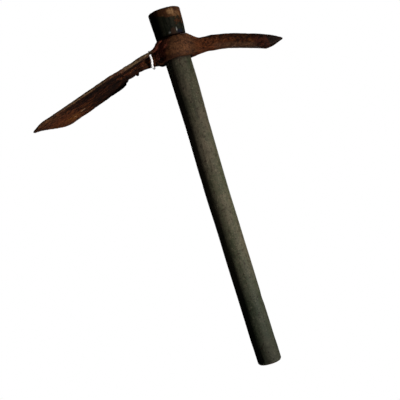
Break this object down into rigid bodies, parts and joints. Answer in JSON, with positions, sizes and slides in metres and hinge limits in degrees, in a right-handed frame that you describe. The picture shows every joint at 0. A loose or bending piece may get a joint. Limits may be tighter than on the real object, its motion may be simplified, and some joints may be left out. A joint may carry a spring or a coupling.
{
  "type": "grub hoe",
  "caption": "Short-handled grub hoe: forged head with a flat hoe blade and a pick, slipped over a tapered round wooden handle, with a string tied through its neck.",
  "frame": {"origin": "centre of the flat face of the handle's butt", "axes": "+Z along the handle toward the head, +X toward the pick, -X toward the hoe blade; the handle and both arms lie in the XZ plane"},
  "size_m": [0.2956, 0.0789, 0.4154],
  "materials": {
    "painted_wood": "worn olive paint over wood, bare and stained at the top end",
    "rusted_steel": "rough forging, brown rust, with worn and ground edges",
    "string": "twisted white cotton"
  },
  "bodies": {
    "handle": {"handle": "painted_wood"},
    "head": {"head": "rusted_steel", "tag_string": "string"}
  },
  "joints": [
    {"name": "head_slide", "type": "slide", "parent": "handle", "child": "head", "axis": [0, 0, -1], "range_m": [0, 0.386]}
  ]
}
